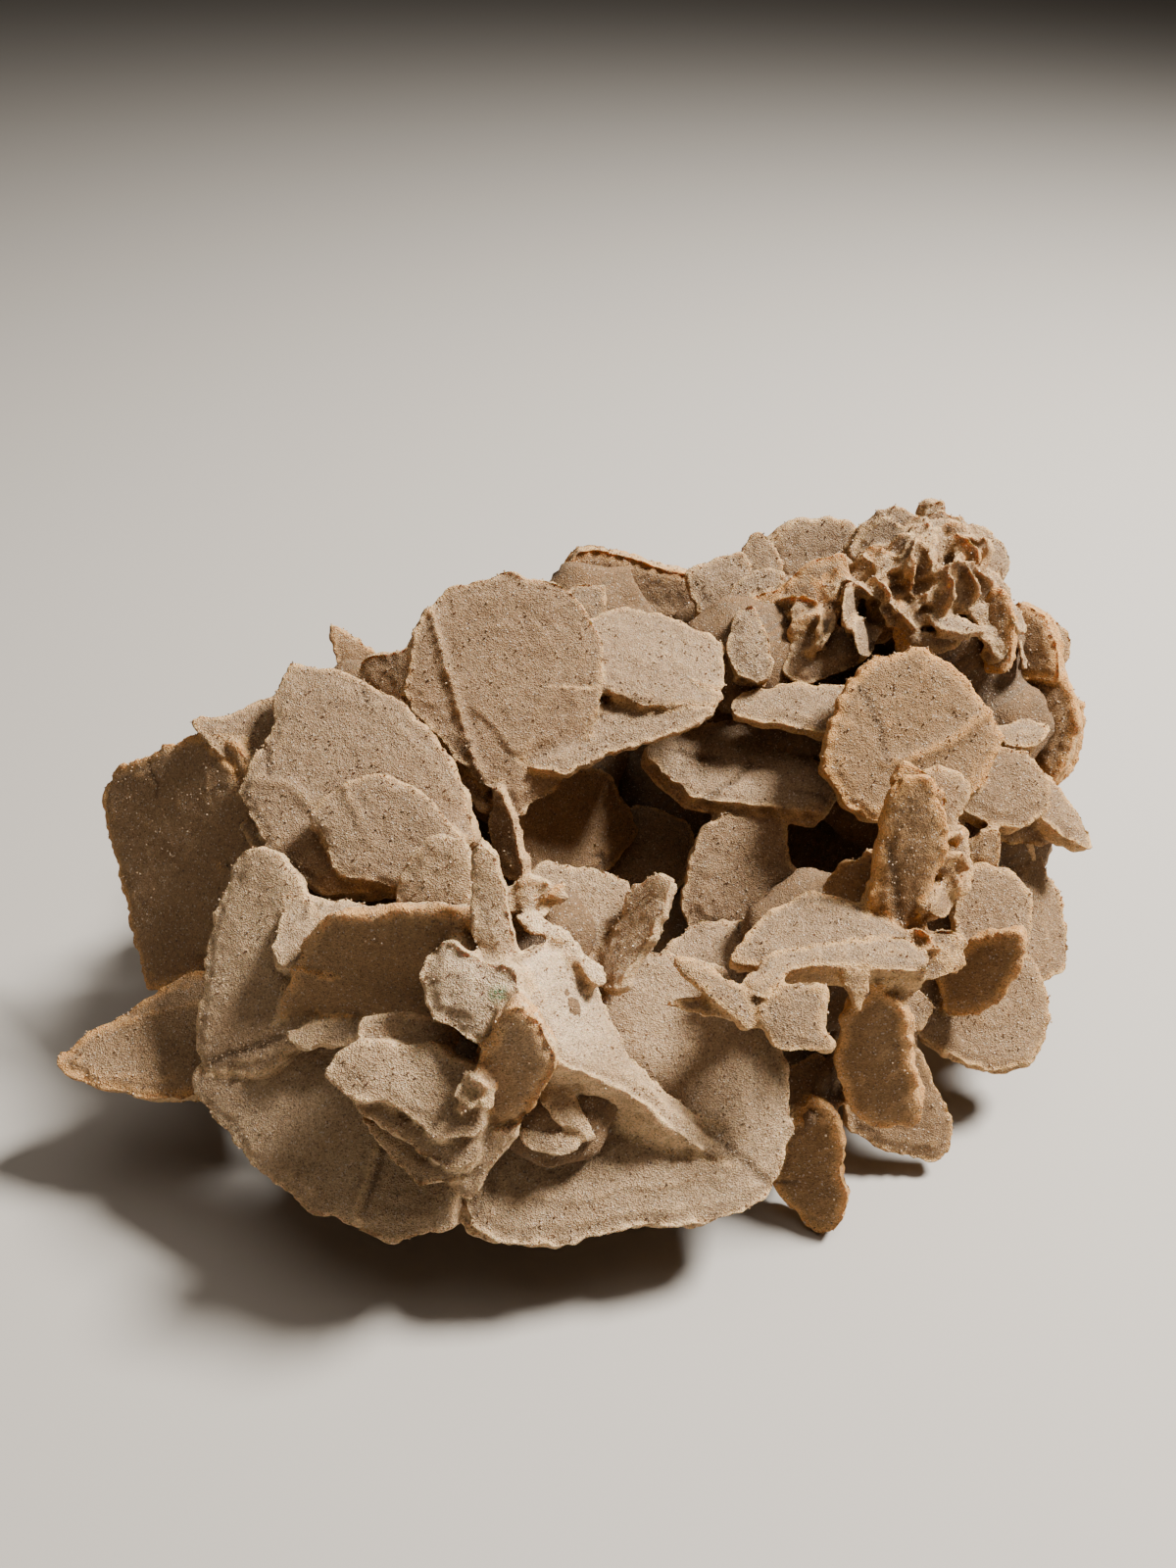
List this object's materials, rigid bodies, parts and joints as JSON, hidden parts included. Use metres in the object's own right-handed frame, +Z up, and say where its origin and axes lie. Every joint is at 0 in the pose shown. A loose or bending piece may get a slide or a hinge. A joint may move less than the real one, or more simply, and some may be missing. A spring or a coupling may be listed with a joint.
{
  "type": "gypsum sand rose",
  "caption": "Free-standing cluster of flat, round-edged gypsum blades grown through one another, with a deep hollow in the middle and a small-bladed crest at one corner.",
  "frame": {"origin": "on the surface the rose stands on, under the middle of its bounding box", "axes": "+X towards the rose's right along its longest side, +Y towards the back where the crest is, +Z up"},
  "size_m": [0.3043, 0.2095, 0.1444],
  "materials": {
    "sandy_gypsum": null
  },
  "bodies": {
    "root": {"sand_rose": "sandy_gypsum"}
  },
  "joints": []
}
